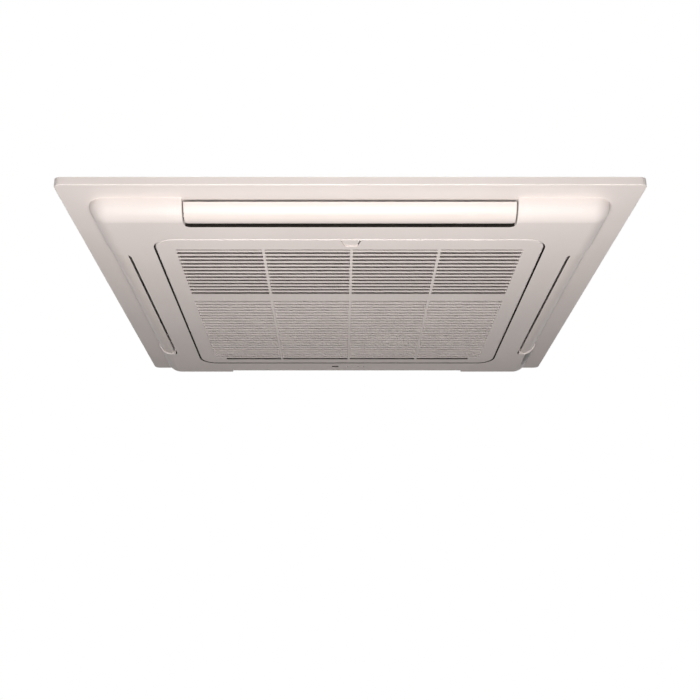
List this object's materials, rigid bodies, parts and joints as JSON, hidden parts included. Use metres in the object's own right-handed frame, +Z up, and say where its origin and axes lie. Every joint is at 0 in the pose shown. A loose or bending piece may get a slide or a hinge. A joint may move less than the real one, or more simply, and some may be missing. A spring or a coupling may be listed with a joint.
{
  "type": "ceiling cassette air conditioner",
  "caption": "Four-way ceiling cassette air conditioner: square decor panel with hinged intake grille and swinging vanes, under a body with turbo fan, coil and drain pump.",
  "frame": {"origin": "middle of the panel in the plane of the ceiling's underside", "axes": "+Z up into the ceiling, -Y towards the viewer of the picture, +X to the right in it"},
  "size_m": [0.95, 0.95, 0.301],
  "materials": {
    "white_plastic": "satin, slightly warm white",
    "dark_plastic": "moulded, fine grain",
    "lens_plastic": "smoked, polished",
    "grey_plastic": "moulded",
    "filter_net": "woven nylon net",
    "grey_foam": "closed-cell foam",
    "polystyrene": "moulded bead foam",
    "galvanised_sheet": "hot-dip zinc spangle",
    "steel": "plain",
    "aluminium_fins": "fin pack",
    "copper": "drawn tube",
    "brass": "turned",
    "rubber": "moulded",
    "circuit_board": "solder resist"
  },
  "bodies": {
    "root": {"panel_frame": "white_plastic", "panel_seal": "grey_foam", "vane_bush_front": "grey_plastic", "vane_bush_right": "grey_plastic", "vane_bush_rear": "grey_plastic", "vane_bush_left": "grey_plastic", "drain_pump": "grey_plastic", "float_switch": "grey_plastic", "drain_outlet": "grey_plastic", "vane_motor_front": "steel", "vane_motor_right": "steel", "vane_motor_rear": "steel", "vane_motor_left": "steel", "panel_screw_1": "steel", "panel_screw_2": "steel", "panel_screw_3": "steel", "panel_screw_4": "steel", "fan_motor": "steel", "receiver_cover": "dark_plastic", "bell_mouth": "dark_plastic", "receiver_window": "lens_plastic", "display_board": "circuit_board", "control_board": "circuit_board", "side_casing": "galvanised_sheet", "top_plate": "galvanised_sheet", "control_box": "galvanised_sheet", "control_box_cover": "galvanised_sheet", "hanger_bracket_1": "galvanised_sheet", "hanger_bracket_2": "galvanised_sheet", "hanger_bracket_3": "galvanised_sheet", "hanger_bracket_4": "galvanised_sheet", "foam_liner": "polystyrene", "drain_pan": "polystyrene", "heat_exchanger": "aluminium_fins", "gas_pipe": "copper", "liquid_pipe": "copper", "gas_flare_nut": "brass", "liquid_flare_nut": "brass", "motor_mount_1": "rubber", "motor_mount_2": "rubber", "motor_mount_3": "rubber", "motor_mount_4": "rubber"},
    "fan": {"turbo_fan": "dark_plastic", "motor_shaft": "steel", "fan_nut": "brass"},
    "grille": {"intake_grille": "white_plastic"},
    "latch": {"grille_latch": "white_plastic"},
    "filter": {"filter_frame": "dark_plastic", "filter_net": "filter_net"},
    "float": {"float": "polystyrene"},
    "front_vane": {"vane_front": "white_plastic"},
    "right_vane": {"vane_right": "white_plastic"},
    "rear_vane": {"vane_rear": "white_plastic"},
    "left_vane": {"vane_left": "white_plastic"}
  },
  "joints": [
    {"name": "fan_spin", "type": "hinge", "parent": "root", "child": "fan", "pos_m": [0, 0, 0.15], "axis": [0, 0, 1], "continuous": true},
    {"name": "grille_hinge", "type": "hinge", "parent": "root", "child": "grille", "pos_m": [0, 0.348, -0.0402], "axis": [1, 0, 0], "range_deg": [0, 90]},
    {"name": "latch_slide", "type": "slide", "parent": "grille", "child": "latch", "axis": [0, 1, 0], "range_m": [0, 0.006]},
    {"name": "filter_slide", "type": "slide", "parent": "grille", "child": "filter", "axis": [0, -1, 0], "range_m": [0, 0.015]},
    {"name": "float_rise", "type": "slide", "parent": "root", "child": "float", "axis": [0, 0, 1], "range_m": [0, 0.012]},
    {"name": "front_vane_swing", "type": "hinge", "parent": "root", "child": "front_vane", "pos_m": [0, -0.402, -0.032], "axis": [1, 0, 0], "range_deg": [0, 90]},
    {"name": "right_vane_swing", "type": "hinge", "parent": "root", "child": "right_vane", "pos_m": [0.402, 0, -0.032], "axis": [0, 1, 0], "range_deg": [0, 90]},
    {"name": "rear_vane_swing", "type": "hinge", "parent": "root", "child": "rear_vane", "pos_m": [0, 0.402, -0.032], "axis": [-1, 0, 0], "range_deg": [0, 90]},
    {"name": "left_vane_swing", "type": "hinge", "parent": "root", "child": "left_vane", "pos_m": [-0.402, 0, -0.032], "axis": [0, -1, 0], "range_deg": [0, 90]}
  ]
}
